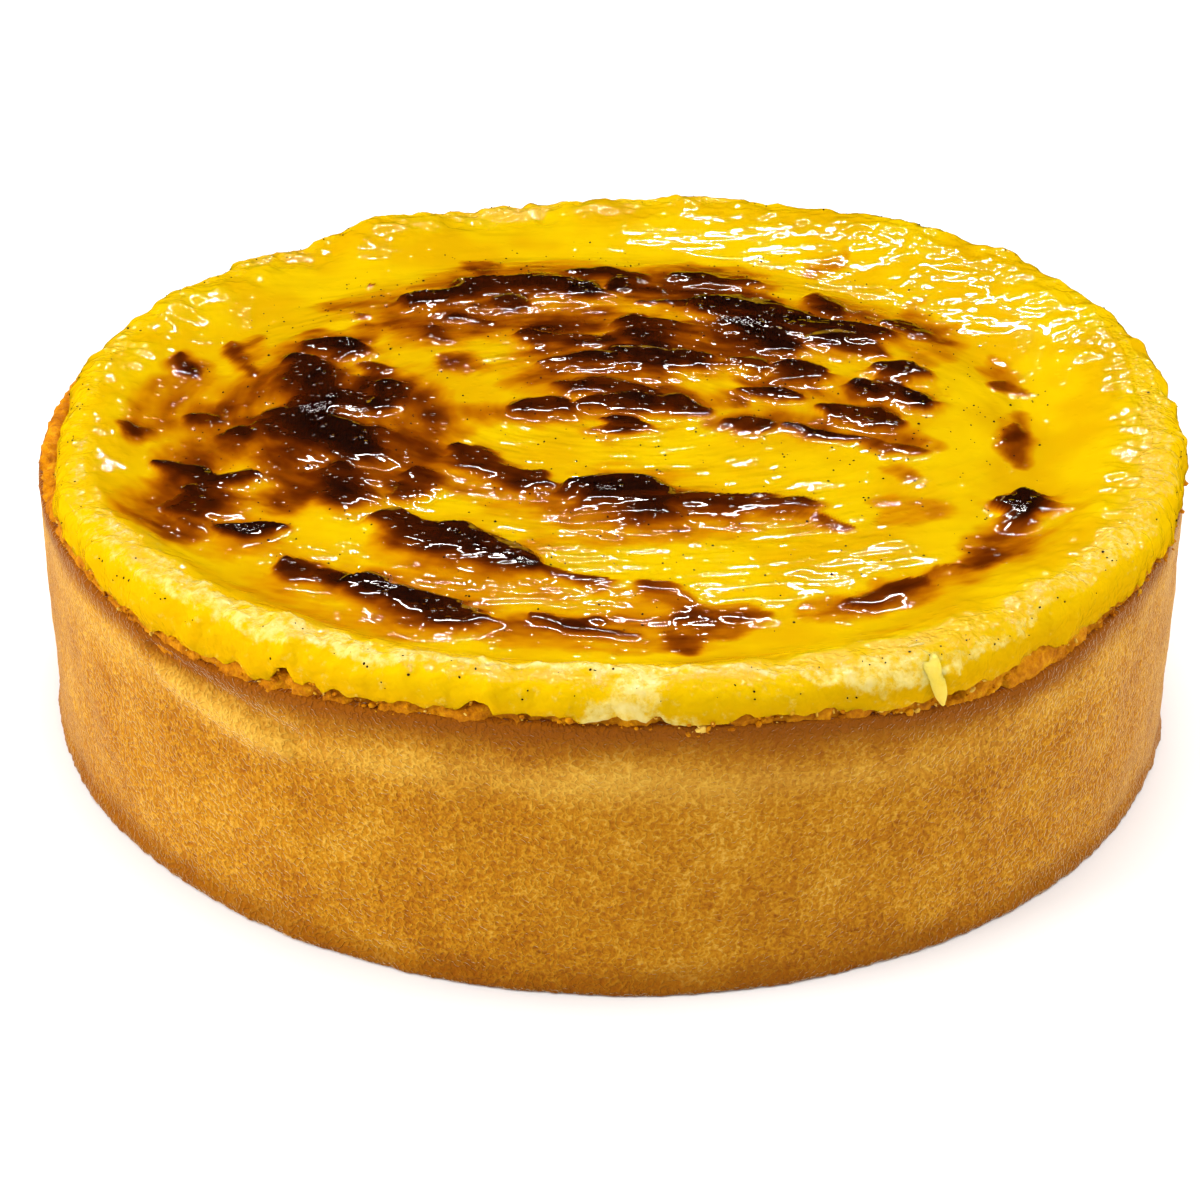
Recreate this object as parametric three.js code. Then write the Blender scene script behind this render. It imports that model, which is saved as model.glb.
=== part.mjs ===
// Custard flan: a straight-sided shortcrust shell, baked in a ring, filled to over its rim with set
// custard. The custard stands above the rim as a soft rolled lip, highest at the back right. Inside
// the lip its baked skin lies lower, with blisters on a low plateau. At the left, behind the front,
// the custard keeps inside the shell and leaves the rim bare.
//
// Millimetres, +Z up. The origin is the centre of the base, and the front is towards -Y.
// A turn angle is counted in degrees from the front towards +X.
import * as THREE from "three";

// Driving dimensions of the shell.
const SHELL_RADIUS = 99.7; // outside of the wall, as the baking ring leaves it
const SHELL_HEIGHT = 45.5; // of the rim, before its waves
const WALL_THICKNESS = 4.2;
const FLOOR_THICKNESS = 5;
const FOOT_SPREAD = 0.5; // how far the dough squeezed out under the ring
const FOOT_HEIGHT = 2.2;
const RIM_ROUNDING = 0.9;
const FLOOR_FILLET = 3;

// Driving dimensions of the custard.
const CLEARANCE = 0.3; // between the custard and the shell
const LIP_RADIUS = 99.2; // outside of the lip, before its waves
const LIP_INSET = 5.2; // from there in to its crest
const LIP_FULLNESS = 0.7; // of its outer face: 1 is round, and less is squarer
const CREST_HEIGHT = 52.5; // top of the lip, before its waves
const SKIN_HEIGHT = 49.2; // of the skin at the foot of the lip
const PLATEAU_RISE = 1.1; // of the middle of the skin over that
const PLATEAU_RADIUS = 62;
const PLATEAU_EDGE = 12; // width of the rise to the plateau

// The lip runs down to the skin over this width: narrow in front, wide at the back and the right.
const SLOPE_WIDTH = 18;
const SLOPE_MORE_BEHIND = 7;
const SLOPE_MORE_RIGHT = 4;

// Steps round the flan, up its wall, up the lip's outer face, and from the crest to the middle.
const TURNS = 96;
const WALL_STEPS = 3;
const LIP_STEPS = 5;
const SKIN_STEPS = 22;

// Uneven baking: each wave adds size at one turn angle, over spread degrees to each side.
// A steep wave has a flat top and sharp ends.
const SOFT = 2;
const STEEP = 12;
const RIM_WAVES = [
  { at: 0, spread: 26, size: 2.6 },
  { at: -36, spread: 14, size: -1.7 },
  { at: 37, spread: 14, size: -2.9 },
  { at: 108, spread: 30, size: 2.8 },
];
const WALL_LEANS = [{ at: 72, spread: 34, size: -1.6 }];
const LIP_WAVES = [
  { at: -100, spread: 29, size: -3.4, shape: STEEP },
  { at: 42, spread: 9, size: -1.3 },
  { at: 82, spread: 30, size: -1.1 },
];
const CREST_WAVES = [
  { at: 0, spread: 20, size: 1.4 },
  { at: 72, spread: 24, size: 1.6 },
  { at: 125, spread: 34, size: 4.4 },
  { at: -136, spread: 8, size: -3 },
  { at: -166, spread: 11, size: -2.4 },
];

// The larger blisters of the skin: place, half length, half width, turn of the long side, rise.
const BLISTERS = [
  { x: -20, y: 54, long: 19, wide: 4.5, turn: 8, rise: 2.1 },
  { x: 30, y: 38, long: 20, wide: 5.5, turn: -17, rise: 2.4 },
  { x: 4, y: 32, long: 10, wide: 8, turn: 0, rise: 1.9 },
  { x: -18, y: 32, long: 15, wide: 7, turn: 4, rise: 1.1 },
  { x: 32, y: 16, long: 8, wide: 5, turn: -15, rise: 1.5 },
  { x: 51, y: 15, long: 7, wide: 6, turn: 10, rise: 2.2 },
  { x: 44, y: -5, long: 7, wide: 5, turn: -10, rise: 1.7 },
  { x: 8, y: 0, long: 19, wide: 4, turn: -3, rise: 1.2 },
  { x: -54, y: 15, long: 12, wide: 7, turn: 25, rise: 2.1 },
  { x: -49, y: -8, long: 17, wide: 7, turn: 50, rise: 1.8 },
  { x: -68, y: -31, long: 11, wide: 6, turn: -35, rise: 1.6 },
  { x: -24, y: -24, long: 15, wide: 4.5, turn: -28, rise: 1.4 },
  { x: 6, y: -35, long: 19, wide: 6, turn: -10, rise: 2 },
  { x: -26, y: -53, long: 20, wide: 5, turn: -33, rise: 1.8 },
  { x: -37, y: -65, long: 20, wide: 5, turn: -26, rise: 1.2 },
  { x: 67, y: -36, long: 7, wide: 6, turn: 0, rise: 2.6 },
  { x: 70, y: -8, long: 5, wide: 9, turn: 0, rise: 1.2 },
];

const { degToRad, euclideanModulo, lerp, smoothstep } = THREE.MathUtils;

// The sum of some waves at one turn angle.
function waves(list, turn) {
  return list.reduce((sum, { at, spread, size, shape = SOFT }) => {
    const apart = Math.abs(euclideanModulo(turn - at + 180, 360) - 180);
    return sum + size * Math.exp(-((apart / spread) ** shape));
  }, 0);
}

const rimHeight = (turn) => SHELL_HEIGHT + waves(RIM_WAVES, turn);
const lipRadius = (turn) => LIP_RADIUS + waves(LIP_WAVES, turn);
const crestHeight = (turn) => CREST_HEIGHT + waves(CREST_WAVES, turn);

// The wall leans in with the square of its height: not at all at the foot, fully at the rim.
function wallRadius(turn, height) {
  return SHELL_RADIUS + waves(WALL_LEANS, turn) * (height / rimHeight(turn)) ** 2;
}

// Points up the wall from one height to another, moved in by some distance.
function wallPoints(turn, low, high, inward) {
  return Array.from({ length: WALL_STEPS + 1 }, (_, step) => {
    const height = lerp(low, high, step / WALL_STEPS);
    return [wallRadius(turn, height) - inward, height];
  });
}

// The shell's section: the base, the squeezed foot, the wall, the rounded rim, the inside.
function shellSection(turn) {
  const rim = rimHeight(turn);
  const shoulder = rim - RIM_ROUNDING;
  const outside = wallPoints(turn, 2 * FOOT_HEIGHT, shoulder, 0);
  const inside = wallPoints(turn, FLOOR_THICKNESS + FLOOR_FILLET, shoulder, WALL_THICKNESS).reverse();
  return [
    [0, 0],
    [SHELL_RADIUS - FOOT_SPREAD, 0],
    [SHELL_RADIUS + FOOT_SPREAD, FOOT_HEIGHT / 2],
    [SHELL_RADIUS + FOOT_SPREAD, FOOT_HEIGHT],
    ...outside,
    [outside.at(-1)[0] - RIM_ROUNDING, rim],
    [inside[0][0] + RIM_ROUNDING, rim],
    ...inside,
    [inside.at(-1)[0] - FLOOR_FILLET, FLOOR_THICKNESS],
    [0, FLOOR_THICKNESS],
  ];
}

// The rise of one blister at a point: a smooth mound on an ellipse.
function mound(blister, x, y) {
  const middle = new THREE.Vector2(blister.x, blister.y);
  const place = new THREE.Vector2(x, y).rotateAround(middle, -degToRad(blister.turn)).sub(middle);
  return blister.rise * Math.exp(-((place.x / blister.long) ** 2) - (place.y / blister.wide) ** 2);
}

// How far the lip runs down to the skin at one turn angle.
function slopeWidth(turn) {
  const behind = -Math.cos(degToRad(turn));
  const right = Math.sin(degToRad(turn));
  return SLOPE_WIDTH + SLOPE_MORE_BEHIND * behind + SLOPE_MORE_RIGHT * right;
}

// Height of the skin inside the crest: the lip's slope, the plateau and the blisters.
function skinHeight(turn, radius) {
  const crestRadius = lipRadius(turn) - LIP_INSET;
  const slope = smoothstep(radius, crestRadius - slopeWidth(turn), crestRadius);
  const plateau = 1 - smoothstep(radius, PLATEAU_RADIUS, PLATEAU_RADIUS + PLATEAU_EDGE);
  const x = radius * Math.sin(degToRad(turn));
  const y = -radius * Math.cos(degToRad(turn));
  const blisters = BLISTERS.reduce((sum, blister) => sum + mound(blister, x, y), 0);
  const skin = SKIN_HEIGHT + PLATEAU_RISE * plateau + blisters;
  return lerp(skin, crestHeight(turn), slope);
}

// The lip's outer face: a quarter of a squared-off ellipse, from over the rim up to the crest.
function lipPoints(turn, low) {
  const crestRadius = lipRadius(turn) - LIP_INSET;
  const rise = crestHeight(turn) - low;
  return Array.from({ length: LIP_STEPS }, (_, step) => {
    const quarter = (Math.PI / 2) * (step / LIP_STEPS);
    const radius = crestRadius + LIP_INSET * Math.cos(quarter) ** LIP_FULLNESS;
    return [radius, low + rise * Math.sin(quarter) ** LIP_FULLNESS];
  });
}

// The skin from the crest to just short of the middle.
function skinPoints(turn) {
  const crestRadius = lipRadius(turn) - LIP_INSET;
  return Array.from({ length: SKIN_STEPS }, (_, step) => {
    const radius = crestRadius * (1 - step / SKIN_STEPS);
    return [radius, skinHeight(turn, radius)];
  });
}

// The custard's section: inside the shell, over the rim, round the lip, and the skin to the middle.
function custardSection(turn) {
  const base = FLOOR_THICKNESS + CLEARANCE;
  const over = rimHeight(turn) + CLEARANCE;
  const inside = wallPoints(turn, base + FLOOR_FILLET, over, WALL_THICKNESS + CLEARANCE);
  return [
    [0, base],
    [inside[0][0] - FLOOR_FILLET, base],
    ...inside,
    ...lipPoints(turn, over),
    ...skinPoints(turn),
    [0, skinHeight(0, 0)],
  ];
}

// A closed body turned round Z, whose section changes with the turn angle. A section runs from the
// axis at the bottom to the axis at the top, always with the same number of points.
function turnedBody(section) {
  const profile = section(0).map(([radius, height]) => new THREE.Vector2(radius, height));
  const geometry = new THREE.LatheGeometry(profile, TURNS);
  const position = geometry.getAttribute("position");
  for (let step = 0; step <= TURNS; step += 1) {
    const turn = (360 * (step % TURNS)) / TURNS;
    section(turn).forEach(([radius, height], row) => {
      const across = radius * Math.sin(degToRad(turn));
      const forward = radius * Math.cos(degToRad(turn));
      position.setXYZ(step * profile.length + row, across, height, forward);
    });
  }
  geometry.rotateX(Math.PI / 2);
  geometry.computeVertexNormals();
  return geometry;
}

function piece(name, section, color, roughness) {
  const material = new THREE.MeshStandardMaterial({ color, roughness, metalness: 0 });
  const mesh = new THREE.Mesh(turnedBody(section), material);
  mesh.name = name;
  return mesh;
}

const flan = new THREE.Group();
flan.add(piece("pastry_shell", shellSection, 0xd79a4c, 0.85));
flan.add(piece("custard", custardSection, 0xf4c20d, 0.2));

export default flan;
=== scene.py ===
"""The looks of a baked custard flan: a shortcrust shell filled to over its rim with custard.

Lengths are in millimetres, as in the solids, until a mesh is made. A turn angle is counted in
degrees from the front, which is -Y, towards +X. Marks on the skin are placed in millimetres from
the middle. A wave is a turn angle, a spread in degrees and a size. Every call of noise or layered
over an array names a size in millimetres and a seed, which only has to differ from the others.
"""

import bpy
import numpy as np
from mathutils import Matrix, Vector


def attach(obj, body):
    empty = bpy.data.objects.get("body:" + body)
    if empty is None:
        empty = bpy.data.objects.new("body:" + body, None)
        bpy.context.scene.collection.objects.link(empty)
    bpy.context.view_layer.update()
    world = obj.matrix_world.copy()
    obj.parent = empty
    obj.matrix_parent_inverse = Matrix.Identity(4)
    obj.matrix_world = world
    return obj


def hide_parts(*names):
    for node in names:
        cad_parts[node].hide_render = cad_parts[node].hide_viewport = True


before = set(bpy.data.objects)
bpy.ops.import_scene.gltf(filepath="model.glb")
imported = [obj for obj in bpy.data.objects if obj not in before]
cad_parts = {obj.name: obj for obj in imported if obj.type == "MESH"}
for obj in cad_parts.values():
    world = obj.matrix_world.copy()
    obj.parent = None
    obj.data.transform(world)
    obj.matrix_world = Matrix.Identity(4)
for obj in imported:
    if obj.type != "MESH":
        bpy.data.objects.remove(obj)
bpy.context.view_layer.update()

MM = 0.001

# The shell, as in the solids.
SHELL_RADIUS = 99.7
SHELL_HEIGHT = 45.5
WALL_THICKNESS = 4.2
FLOOR_THICKNESS = 5.0
FLOOR_FILLET = 3.0
FOOT_SPREAD = 0.5
FOOT_HEIGHT = 2.2
RIM_ROUNDING = 0.9
RIM_WAVES = ((0, 26, 2.6), (-36, 14, -1.7), (37, 14, -2.9), (108, 30, 2.8))
WALL_LEANS = ((72, 34, -1.6),)

# The custard, as in the solids.
CLEARANCE = 0.3
CUSTARD_FOOT = FLOOR_THICKNESS + CLEARANCE
LIP_RADIUS = 99.2
LIP_INSET = 5.2
LIP_FULLNESS = 0.7
CREST_HEIGHT = 52.5
SKIN_HEIGHT = 49.2
PLATEAU_RISE = 1.1
PLATEAU_RADIUS = 62.0
PLATEAU_EDGE = 12.0
SLOPE_WIDTH = 18.0
SLOPE_MORE_BEHIND = 7.0
SLOPE_MORE_RIGHT = 4.0
LIP_WAVES = ((42, 9, -1.3), (82, 30, -1.1))
BARE_RIM_AT, BARE_RIM_SPREAD, BARE_RIM_INSET, BARE_RIM_STEEPNESS = -100, 29, -3.4, 12
CREST_WAVES = ((0, 20, 1.4), (72, 24, 1.6), (125, 34, 4.4), (-136, 8, -3), (-166, 11, -2.4))

# Finer than in the solids: the base's edge, the rim's section, where a power of 1 is round, and how
# far in the lip is tucked over the rim and the custard stays off the shell's inside.
BASE_ROUNDING = 0.3
BASE_INSET = 0.4
RIM_POWER = 0.6
LIP_TUCK = 1.4
INSIDE_GAP = 2.8

# The custard's mesh: a disc of SIDE by SIDE faces, and rings with as many columns as its edge.
SIDE = 230
COLUMNS = 4 * SIDE
SEAM_RADIUS = 80.0
LIP_ROWS_INSIDE = 28
LIP_ROWS_OUTSIDE = 18
SHELL_COLUMNS = 1080
WALL_ROWS = 74
RIM_ROWS = 9

# Wrinkles are drawn out along rings that are wider than deep: the weight of x squared in those.
RING_SQUEEZE = 0.35

# Scorched blisters, as strokes over the skin: half width, scorch from 0 to 1, rise, and the points
# that the stroke runs through. Blisters are folded over towards one side, a little left of behind.
FOLD_WAY = (-0.25, 0.97)
BLISTERS = (
    (5.8, 0.97, 1.6, ((-38, 44), (-33, 46.5), (-27, 50.5), (-19, 52), (-10, 51.5), (-5, 49.5))),
    (2.2, 0.75, 0.7, ((-23, 45), (-17, 43.5))),
    (2.4, 0.62, 0.6, ((-9, 59.5), (-2, 60), (5, 59))),
    (2.2, 0.90, 0.7, ((0, 57), (-1, 53))),
    (3.0, 0.72, 0.9, ((11, 58), (18, 57.5), (27, 57))),
    (1.5, 0.70, 0.5, ((4, 47.5), (11, 47), (18, 46.5))),
    (5.4, 0.98, 1.7, ((17, 45), (28, 40.5), (38, 35), (48, 31.5))),
    (4.6, 0.96, 1.0, ((22, 36), (29, 30), (32, 25))),
    (2.8, 0.62, 0.8, ((38, 50), (41, 44))),
    (3.0, 0.60, 0.7, ((52, 38.5), (57, 36))),
    (3.4, 0.72, 0.8, ((37, 29), (43, 27.5), (48, 26))),
    (7.4, 0.90, 1.6, ((3, 35), (6, 30), (8, 26))),
    (4.8, 0.95, 1.2, ((2, 21), (9, 19.5), (16, 18.5))),
    (3.2, 0.72, 0.9, ((22, 19), (27, 17))),
    (4.2, 0.95, 1.2, ((31, 17.5), (35, 13))),
    (4.0, 0.80, 1.0, ((-17, 29), (-9, 27), (-1, 26))),
    (2.0, 0.50, 0.5, ((-31, 37), (-25, 36))),
    (1.8, 0.45, 0.5, ((-34, 31), (-33, 26))),
    (2.6, 0.68, 0.8, ((-14, 17.5), (-6, 17), (0, 18.5))),
    (3.6, 0.66, 0.7, ((-10, 8.5), (-3, 8), (4, 7))),
    (3.4, 0.90, 0.9, ((-18, -1), (-13, 1), (-9, -1))),
    (2.8, 0.80, 0.8, ((-6, 0.5), (2, 2), (9, 1), (14, -2))),
    (3.2, 0.92, 0.9, ((-2, -6.5), (5, -7))),
    (2.6, 0.74, 0.7, ((22, 6.5), (28, 6), (31, 4))),
    (2.8, 0.66, 0.5, ((20, -6), (26, -7))),
    (1.5, 0.78, 0.5, ((30, -7), (35, -10), (41, -10.5))),
    (3.4, 0.90, 1.0, ((38, 1), (43, -1), (47, -5))),
    (2.0, 0.50, 0.5, ((42, -11), (46, -15), (53, -15.5))),
    (5.2, 1.00, 1.9, ((48.5, 17.5), (54, 15.5))),
    (3.6, 0.97, 1.1, ((43, 10.5), (48.5, 6.5), (54, 2.5))),
    (1.7, 0.55, 0.4, ((69, 14), (72, 9.5))),
    (2.0, 0.45, 0.5, ((69, -4), (68.5, -10))),
    (3.8, 0.92, 1.2, ((-53, 22.5), (-48, 22))),
    (5.6, 0.95, 1.6, ((-56, 15), (-53, 8), (-51, 1), (-52, -4))),
    (6.6, 1.00, 1.4, ((-57, -6), (-52, -11), (-45, -15), (-43, -20))),
    (4.8, 0.86, 1.3, ((-46, -26), (-45, -32), (-43, -38))),
    (3.0, 0.90, 0.9, ((-41, 8), (-40, 2), (-42, -1))),
    (2.2, 0.62, 0.6, ((-46, 15.5), (-42, 14.5))),
    (3.0, 0.60, 0.6, ((-48, 3), (-44, -1))),
    (3.2, 0.66, 0.8, ((-33, -26), (-33, -30), (-35, -35))),
    (3.0, 0.74, 0.8, ((-66, -13), (-61, -13.5))),
    (2.0, 0.62, 0.6, ((-72, -4), (-68, -7))),
    (2.0, 0.66, 0.7, ((-83, -11), (-82, -15))),
    (1.9, 0.92, 1.0, ((-74, -22), (-70, -26), (-65, -30), (-61, -27))),
    (4.8, 0.80, 1.1, ((-68, -33), (-66, -38), (-67, -43))),
    (2.4, 0.90, 1.0, ((-64, -46.5), (-59, -47), (-53, -46))),
    (2.0, 0.62, 0.5, ((-78, 18), (-76, 12))),
    (1.2, 0.50, 0.4, ((-69.5, 25), (-68, 18), (-66.5, 11))),
    (3.8, 0.84, 1.1, ((-27, -18), (-23, -22), (-18, -27), (-12, -31))),
    (7.0, 0.98, 2.0, ((-5, -33), (2, -34.5), (7, -38))),
    (3.6, 0.78, 1.2, ((10, -36), (18, -37), (25, -36.5), (31, -36))),
    (1.4, 0.46, 0.4, ((32, -39), (38, -44))),
    (4.3, 0.95, 1.8, ((-37, -44), (-33, -48), (-26, -51), (-19, -55), (-13, -60))),
    (1.5, 0.62, 0.5, ((-13, -60.5), (-6, -61.5), (0, -62.5))),
    (2.8, 0.80, 0.8, ((-52, -56), (-48, -60), (-42, -62))),
    (3.7, 0.94, 1.2, ((-41, -63), (-33, -66), (-26, -71), (-20, -74))),
    (1.1, 0.50, 0.4, ((-12, -72), (-5, -73.5), (3, -74.5))),
    (2.6, 0.44, 0.5, ((5, -63), (9, -66), (12, -69))),
    (2.6, 0.42, 0.4, ((11, -72), (17, -71), (23, -70))),
    (2.2, 0.56, 0.6, ((36, -65.5), (40, -63), (47, -59.5))),
    (1.2, 0.34, 0.3, ((47, -58), (55, -54))),
    (5.6, 1.00, 2.3, ((67, -32), (66, -36))),
    (0.9, 0.60, 0.3, ((-48, 56), (-47.5, 56.6))),
    (1.3, 0.45, 0.3, ((-49, 38.5), (-48, 37))),
)

# How the strokes' edges wander, in millimetres: broadly, finely, and drawn out in streaks.
BROAD_WANDER, FINE_WANDER, STREAK_WANDER = 1.9, 0.35, 1.5
STROKE_STRENGTH, HALO_STRENGTH = 0.93, 0.28
FOLD_EDGE = 0.8  # where a blister's back edge lies, as a share of its half width

# Browned places with soft edges, lighter than blisters: half width, scorch, and points.
BROWNINGS = (
    (6.0, 0.34, ((-39, 44), (-32, 50), (-26, 60), (-12, 62), (0, 60))),
    (2.4, 0.40, ((-27, 62), (-26, 68))),
    (5.0, 0.34, ((0, 60), (12, 62), (24, 60), (30, 56))),
    (4.2, 0.36, ((14, 62), (15, 67))),
    (6.0, 0.56, ((2, 54), (12, 52), (20, 50), (30, 48))),
    (5.5, 0.36, ((-54, 45), (-49, 44), (-43, 46))),
    (2.8, 0.36, ((-55, 30), (-53, 26))),
    (3.0, 0.32, ((-47, 34), (-46, 27))),
    (7.0, 0.38, ((-42, 38), (-34, 32), (-26, 38), (-14, 36), (-4, 38))),
    (3.2, 0.34, ((-14, 35), (-4, 35))),
    (6.5, 0.44, ((-50, 24), (-57, 16), (-62, 8), (-66, 0))),
    (5.0, 0.32, ((-77, 18), (-76, 10), (-80, -8), (-82, -16))),
    (3.0, 0.26, ((-66, 27), (-67, 18))),
    (7.0, 0.46, ((-70, -2), (-66, -12), (-70, -24))),
    (6.0, 0.34, ((-72, -28), (-74, -38), (-70, -48))),
    (5.0, 0.52, ((-55, -20), (-54, -30), (-53, -38))),
    (6.0, 0.52, ((-44, 10), (-34, 0), (-34, -14), (-34, -30))),
    (3.6, 0.46, ((-31, 18), (-25, 16))),
    (6.0, 0.34, ((-16, 22), (-14, 12), (-4, 12), (8, 10))),
    (4.5, 0.36, ((-30, -4), (-20, -3), (-10, -3), (10, 4), (20, 2))),
    (3.6, 0.32, ((16, -6), (28, -5), (42, -7), (50, -12), (55, -13))),
    (5.0, 0.42, ((38, 46), (46, 44), (53, 39), (59, 33))),
    (5.0, 0.24, ((58, 46), (60, 34), (58, 22))),
    (3.6, 0.28, ((38, 64), (45, 68))),
    (6.0, 0.44, ((14, 34), (18, 28), (30, 22))),
    (4.0, 0.30, ((22, 12), (32, 10), (42, 6))),
    (3.4, 0.42, ((70, 1), (70, -8), (69, -18))),
    (2.6, 0.32, ((69, 24), (70, 12))),
    (3.2, 0.34, ((45, -23), (50, -24))),
    (4.0, 0.30, ((43, -33), (49, -36), (44, -40))),
    (4.2, 0.14, ((-8, -44), (6, -46), (18, -42), (32, -41))),
    (3.2, 0.12, ((-12, -47), (-12, -53))),
    (5.0, 0.18, ((-28, -30), (-16, -36), (-8, -40))),
    (6.0, 0.14, ((-34, -62), (-20, -66), (-10, -68), (4, -68))),
    (5.0, 0.36, ((-16, -76), (-4, -76), (8, -74), (20, -74))),
    (3.2, 0.34, ((9, -76), (11, -80))),
    (5.0, 0.40, ((66, -38), (63, -45), (58, -52))),
    (4.0, 0.28, ((30, -69), (40, -65), (52, -57), (60, -50))),
    (6.0, 0.12, ((-60, -52), (-48, -66), (-30, -76))),
)

# On the lip's face and the wall, a place is the distance round from the front and the height.
# Pale patches have a half width and points. A low ridge runs along the wall with a crease over it.
PALE_PATCHES = (
    (3.4, ((7, 56), (4, 53), (1, 50), (5, 47.6), (12, 46.5))),
    (2.0, ((-1, 50), (-4, 48))),
    (1.8, ((34, 52), (42, 51), (50, 50))),
)
# The ridge is also painted paler as a highlight, and the crease darker as shade.
RIDGE_HALF_WIDTH, CREASE_HALF_WIDTH = 2.2, 1.7
RIDGE = ((-76, 39.5), (-62, 36.5), (-50, 34.8))
CREASE = ((-78, 42.5), (-66, 40.6), (-54, 38.8), (-48, 37.5))

# Thin strips of custard that hang down the lip's face: half width, and points by turn and height.
DRIPS = ((1.7, ((27.7, 53.2), (28.0, 51.4), (28.4, 48.6), (29.0, 44.8))),)
DRIP_HALF_THICKNESS = 0.3
DRIP_ROWS = 80
DRIP_COLUMNS = 20

# Relief in millimetres: of the skin, of the lip and its pale torn custard, of the crust, and of the
# toasted band.
BLISTER_SHARE, STREAKS, SWELLS, PIMPLES = 0.80, 0.12, 0.26, 0.03
LIP_LUMPS, LIP_SWELLS, LIP_RIBS = 0.26, 0.40, 0.45
PALE_THICKNESS, PALE_LUMPS = 0.40, 0.65
CRUST_SWELLS, CRUST_GRAIN, CRUST_CRUMBLE, RIDGE_RISE, CREASE_DEPTH = 0.30, 0.06, 0.28, 0.8, 0.9
TOASTED_LUMPS, TOASTED_PITS = 0.40, 0.9

# The toasted band along the rim: an ellipse's middle radius, half width and half height.
TOASTED_RADIUS = 97.4
TOASTED_HALF_WIDTH = 1.9
TOASTED_HALF_HEIGHT = 2.8
TOASTED_WAVES = ((40, 5, 1.8), (56, 12, 1.2))
TOASTED_COLUMNS = 16

# Small things: how many, and their sizes as radii.
CUSTARD_CRUMBS = 300
TOASTED_CRUMBS = 900
CRUMB_RADII = (0.16, 0.66)
SEEDS_IN_SKIN = 620
SEEDS_IN_LIP = 260
SEED_RADII = (0.11, 0.22)
BLACKENED = 0.6  # scorch from which seeds don't show


# Numbers over arrays.


def smoothstep(low, high, value):
    """A soft step from 0 at low to 1 at high, flat at both ends."""
    t = np.clip((value - low) / (high - low), 0, 1)
    return t * t * (3 - 2 * t)


def mix(a, b, share):
    """From a to b by a share."""
    return a + (b - a) * share


def bell(value, spread):
    """A bell shape: 1 at 0, and next to nothing beyond twice the spread."""
    return np.exp(-((value / spread) ** 2))


LARGE_PRIMES = (374761393, 668265263, 982451653, 1274126177)
LARGE_FACTOR = 1103515245


def lattice(x, y, z, seed):
    """A repeatable number from -1 to 1 at each whole-numbered point: its coordinates, scrambled."""
    mixed = sum(value * prime for value, prime in zip((x, y, z, seed), LARGE_PRIMES))
    mixed = (mixed ^ (mixed >> 13)) * LARGE_FACTOR
    mixed = mixed ^ (mixed >> 16)
    return (mixed & 0xFFFF) / 32767.5 - 1


def noise(points, size, seed):
    """Smooth noise from -1 to 1 with lumps of one size: lattice numbers blended over each cell."""
    scaled = np.asarray(points, float) / size + 100.5
    cell = np.floor(scaled).astype(np.int64)
    part = scaled - cell
    part = part * part * (3 - 2 * part)
    total = 0
    for corner in np.ndindex(2, 2, 2):
        share = np.prod(np.where(corner, part, 1 - part), axis=-1)
        total = total + share * lattice(*(cell + corner).transpose(), seed).transpose()
    return total


def layered(points, size, seed, layers=4, fade=0.5):
    """Noise of one size plus finer layers, each half as large as the last and weaker by fade."""
    return sum(noise(points, size / 2**k, seed + k) * fade**k for k in range(layers))


def waves(list_of_waves, turn):
    """The sum of bell-shaped waves: each at one turn angle, with a spread in degrees and a size."""
    total = np.zeros_like(turn, dtype=float)
    for at, spread, size in list_of_waves:
        total += size * bell(turned_apart(turn, at), spread)
    return total


def turned_apart(turn, at):
    """The angle from one turn angle to another, from -180 to 180 degrees."""
    return (turn - at + 180) % 360 - 180


def all_round(count):
    """Evenly spaced turn angles, from 0 up to 180 and on from -180."""
    turn = np.arange(count) * 360 / count
    return np.where(turn > 180, turn - 360, turn)


# The flan's shape.


def rim_height(turn):
    return SHELL_HEIGHT + waves(RIM_WAVES, turn)


def wall_radius(turn, height):
    """The wall leans in with the square of its height: not at the foot, fully at the rim."""
    return SHELL_RADIUS + waves(WALL_LEANS, turn) * (height / rim_height(turn)) ** 2


def lip_radius(turn):
    apart = turned_apart(turn, BARE_RIM_AT) / BARE_RIM_SPREAD
    bare = BARE_RIM_INSET * np.exp(-(apart**BARE_RIM_STEEPNESS))
    return LIP_RADIUS + waves(LIP_WAVES, turn) + bare


def crest_height(turn):
    return CREST_HEIGHT + waves(CREST_WAVES, turn)


def slope_width(turn):
    across = np.radians(turn)
    return SLOPE_WIDTH - SLOPE_MORE_BEHIND * np.cos(across) + SLOPE_MORE_RIGHT * np.sin(across)


def polar(turn, radius, height):
    """Points at a turn angle and a radius, as an array of x, y and z."""
    across = np.radians(turn)
    x, y, z = np.broadcast_arrays(radius * np.sin(across), -radius * np.cos(across), height)
    return np.stack([x, y, z], axis=-1)


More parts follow.
